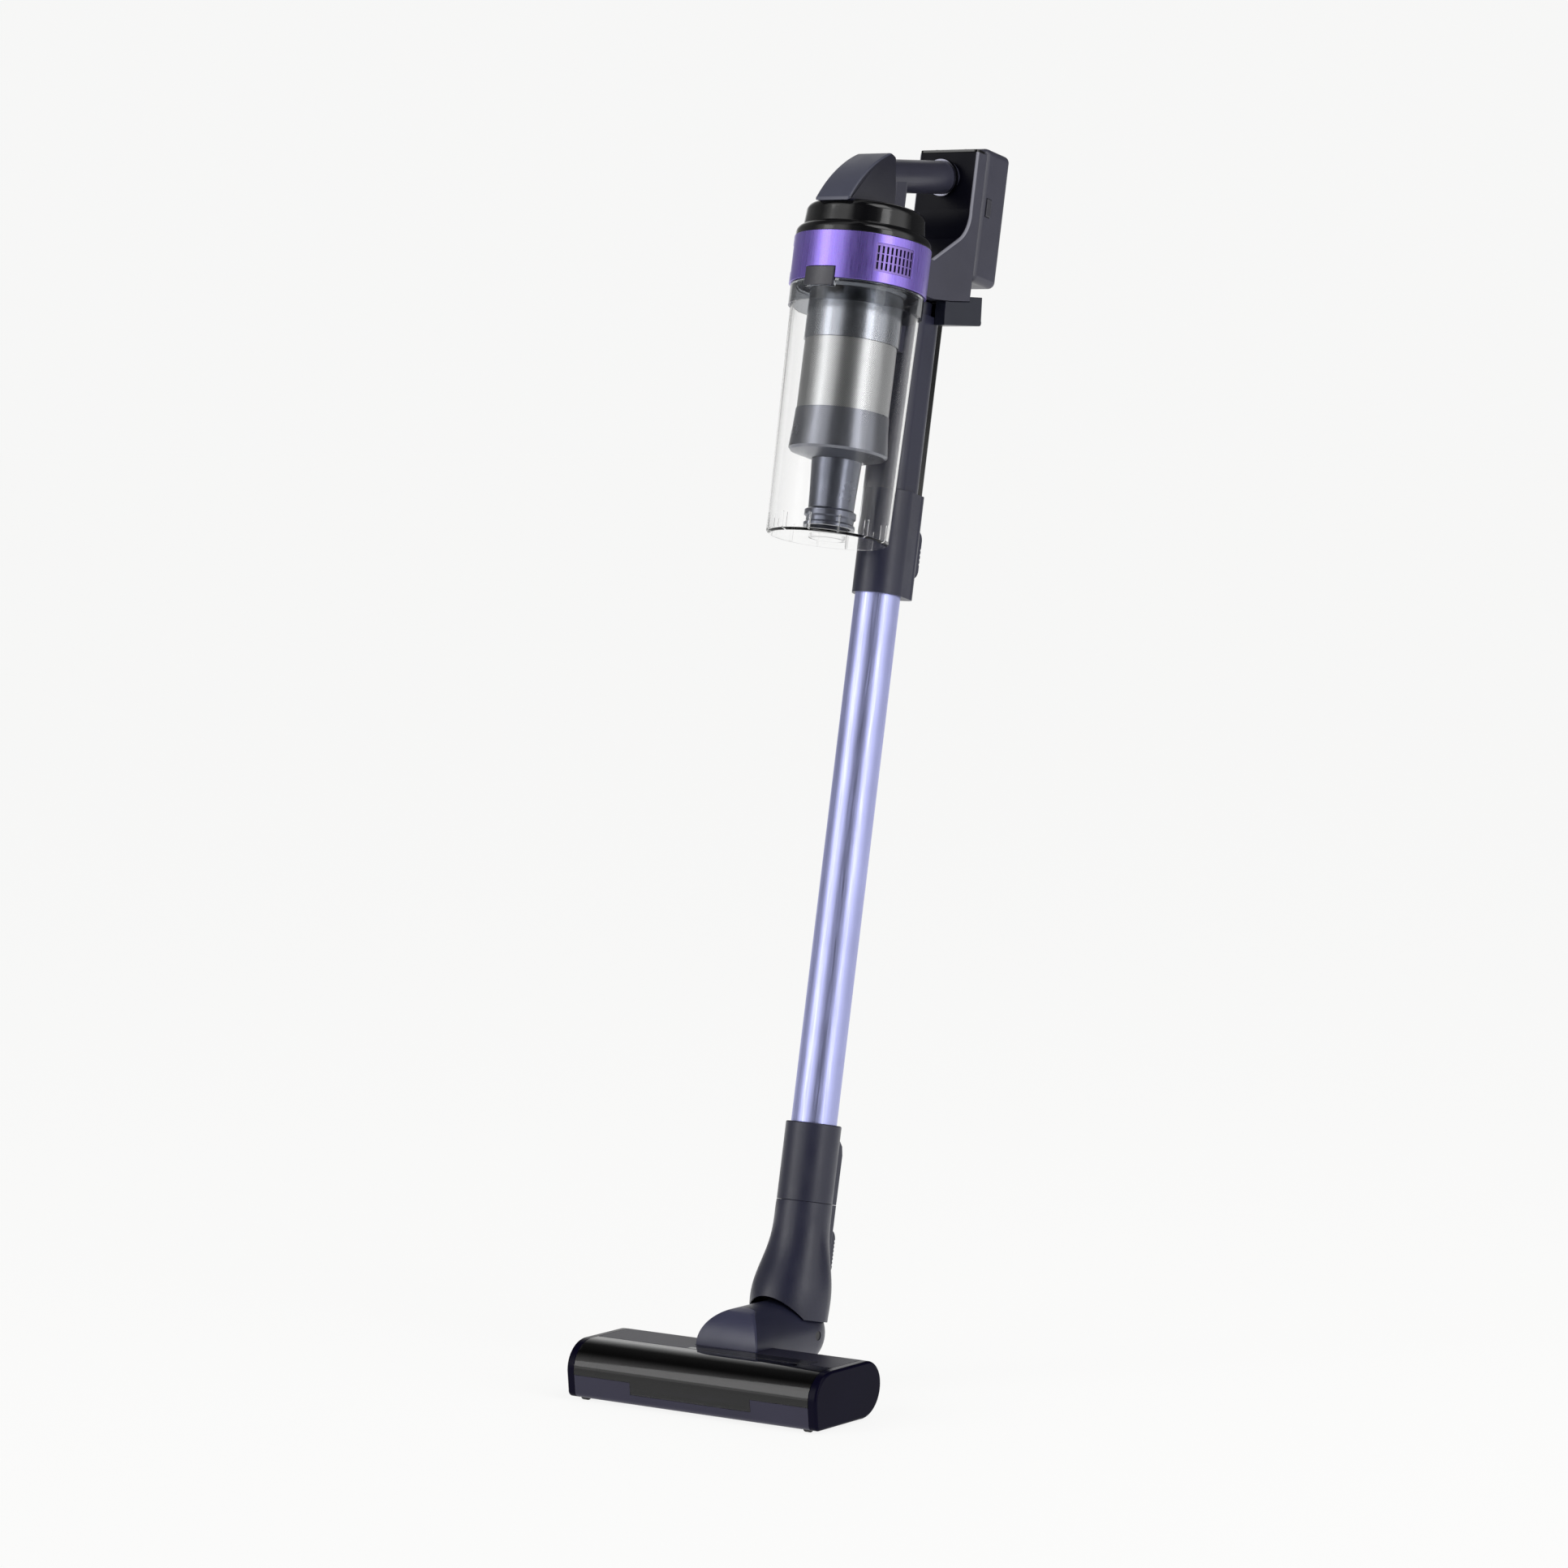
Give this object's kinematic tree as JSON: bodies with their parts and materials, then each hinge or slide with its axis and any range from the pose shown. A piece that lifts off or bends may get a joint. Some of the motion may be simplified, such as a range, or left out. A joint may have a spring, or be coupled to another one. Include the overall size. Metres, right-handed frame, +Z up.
{
  "type": "cordless stick vacuum",
  "caption": "Cordless stick vacuum: handheld unit with ring body, clear dust bin and upright battery, a straight metal pipe, and a swivelling floor head with a roller brush.",
  "frame": {"origin": "on the floor, under the middle of the machine's overall box", "axes": "+Z up; the floor head faces -Y and the stick leans back towards +Y; +X is the machine's left-right axis"},
  "size_m": [0.258, 0.4447, 1.0613],
  "materials": {
    "dark_plastic": "satin violet-grey moulding",
    "gloss_black": "gloss black moulding",
    "purple_metal": "metallic violet coat",
    "pipe_anodised": "lavender anodised, satin",
    "clear_plastic": "clear, polished",
    "smoked_window": "smoked clear, polished",
    "mesh_steel": "fine perforated steel",
    "cyclone_metal": "bright metallic, turned",
    "cyclone_grey": "smooth grey moulding",
    "strip_plastic": "soft gloss bumper",
    "face_plastic": "smooth grey face",
    "bright_trim": "polished trim ring",
    "button_plastic": "satin button",
    "contact_metal": "plated contacts",
    "board": "solder-masked board",
    "cell_sleeve": "sleeved cells",
    "motor_metal": "die-cast and plated",
    "steel": "ground steel",
    "fan_plastic": "pale moulding",
    "filter_foam": "open foam",
    "black_rubber": "matte rubber",
    "brush_plastic": "violet moulding",
    "bristle_fibre": "tufted nylon"
  },
  "bodies": {
    "handheld": {"motor_housing": "dark_plastic", "ring_cover": "purple_metal", "vent_mesh": "mesh_steel", "top_cap": "gloss_black", "motor_cover": "dark_plastic", "handle_frame": "dark_plastic", "column_foot": "dark_plastic", "handle_grip": "dark_plastic", "grip_ring": "bright_trim", "battery_dock": "gloss_black", "battery_contacts": "contact_metal", "control_panel": "gloss_black", "circuit_board": "board", "suction_motor": "motor_metal", "pre_filter": "filter_foam", "cyclone_top": "cyclone_metal", "mesh_screen": "mesh_steel", "cyclone_skirt": "cyclone_grey", "dust_cone": "cyclone_grey", "suction_tube": "dark_plastic", "tube_channel": "gloss_black", "connector": "dark_plastic"},
    "rotor": {"motor_shaft": "steel", "impeller": "fan_plastic"},
    "power_button": {"power_button": "button_plastic"},
    "mode_button": {"mode_button": "button_plastic"},
    "battery": {"battery_case": "dark_plastic", "battery_cells": "cell_sleeve"},
    "battery_latch": {"battery_latch": "button_plastic"},
    "bin": {"bin": "clear_plastic", "bin_rim": "smoked_window"},
    "bin_button": {"bin_button": "button_plastic"},
    "pipe_button": {"pipe_button": "dark_plastic"},
    "pipe": {"pipe": "pipe_anodised", "lower_collar": "dark_plastic"},
    "neck": {"neck": "dark_plastic"},
    "neck_button": {"neck_button": "dark_plastic"},
    "knuckle": {"knuckle_shell": "dark_plastic", "knuckle_face": "face_plastic", "pivot_pins": "steel", "air_hose": "black_rubber"},
    "head": {"head_base": "dark_plastic", "top_plate": "dark_plastic", "front_window": "smoked_window", "front_strip": "strip_plastic", "end_caps": "gloss_black", "swivel_duct": "fan_plastic", "wheel_axles": "steel", "head_screws": "steel", "brush_bearings": "contact_metal", "brush_motor": "motor_metal", "drive_belt": "black_rubber"},
    "brush": {"brush_core": "brush_plastic", "brush_bristles": "bristle_fibre"},
    "motor_pulley": {"motor_pulley": "brush_plastic"},
    "front_wheel_left": {"front_wheel_left": "black_rubber"},
    "front_wheel_right": {"front_wheel_right": "black_rubber"},
    "rear_wheel_left": {"rear_wheel_left": "black_rubber"},
    "rear_wheel_right": {"rear_wheel_right": "black_rubber"}
  },
  "joints": [
    {"name": "rotor_spin", "type": "hinge", "parent": "handheld", "child": "rotor", "pos_m": [0, 0.02924, 0.96757], "axis": [0, 0.2079, 0.9781], "continuous": true},
    {"name": "power_press", "type": "slide", "parent": "handheld", "child": "power_button", "axis": [0, -0.2079, -0.9781], "range_m": [0, 0.001], "stiffness_N_per_m": 400},
    {"name": "mode_press", "type": "slide", "parent": "handheld", "child": "mode_button", "axis": [0, -0.2079, -0.9781], "range_m": [0, 0.001], "stiffness_N_per_m": 400},
    {"name": "battery_slide", "type": "slide", "parent": "handheld", "child": "battery", "axis": [0, 0.2079, 0.9781], "range_m": [0, 0.13]},
    {"name": "latch_press", "type": "slide", "parent": "battery", "child": "battery_latch", "axis": [-1, 0, 0], "range_m": [0, 0.0015], "stiffness_N_per_m": 400},
    {"name": "bin_slide", "type": "slide", "parent": "handheld", "child": "bin", "axis": [0, -0.2079, -0.9781], "range_m": [0, 0.24]},
    {"name": "bin_button_press", "type": "slide", "parent": "handheld", "child": "bin_button", "axis": [0, 0.9781, -0.2079], "range_m": [0, 0.0018], "stiffness_N_per_m": 400},
    {"name": "pipe_button_press", "type": "slide", "parent": "handheld", "child": "pipe_button", "axis": [0, -0.9781, 0.2079], "range_m": [0, 0.002], "stiffness_N_per_m": 600},
    {"name": "pipe_slide", "type": "slide", "parent": "handheld", "child": "pipe", "axis": [0, -0.2079, -0.9781], "range_m": [0, 0.08]},
    {"name": "neck_slide", "type": "slide", "parent": "pipe", "child": "neck", "axis": [0, -0.2079, -0.9781], "range_m": [0, 0.03]},
    {"name": "neck_button_press", "type": "slide", "parent": "neck", "child": "neck_button", "axis": [0, -0.9781, 0.2079], "range_m": [0, 0.0016], "stiffness_N_per_m": 600},
    {"name": "neck_pitch", "type": "hinge", "parent": "neck", "child": "knuckle", "pos_m": [0, -0.0789, 0.05], "axis": [1, 0, 0], "range_deg": [-7, 66], "deforming": ["air_hose"]},
    {"name": "head_roll", "type": "hinge", "parent": "knuckle", "child": "head", "pos_m": [0, -0.0789, 0.05], "axis": [0, 1, 0], "range_deg": [-50, 50]},
    {"name": "brush_spin", "type": "hinge", "parent": "head", "child": "brush", "pos_m": [0, -0.1979, 0.0225], "axis": [1, 0, 0], "continuous": true},
    {"name": "pulley_spin", "type": "hinge", "parent": "head", "child": "motor_pulley", "pos_m": [-0.09, -0.1564, 0.031], "axis": [1, 0, 0], "continuous": true},
    {"name": "front_wheel_left_spin", "type": "hinge", "parent": "head", "child": "front_wheel_left", "pos_m": [-0.115, -0.2124, 0.0046], "axis": [1, 0, 0], "continuous": true},
    {"name": "front_wheel_right_spin", "type": "hinge", "parent": "head", "child": "front_wheel_right", "pos_m": [0.115, -0.2124, 0.0046], "axis": [1, 0, 0], "continuous": true},
    {"name": "rear_wheel_left_spin", "type": "hinge", "parent": "head", "child": "rear_wheel_left", "pos_m": [-0.084, -0.1464, 0.008], "axis": [1, 0, 0], "continuous": true},
    {"name": "rear_wheel_right_spin", "type": "hinge", "parent": "head", "child": "rear_wheel_right", "pos_m": [0.084, -0.1464, 0.008], "axis": [1, 0, 0], "continuous": true}
  ],
  "couplings": [
    {"joint": "pulley_spin", "follows": "brush_spin", "ratio": 1.8}
  ]
}
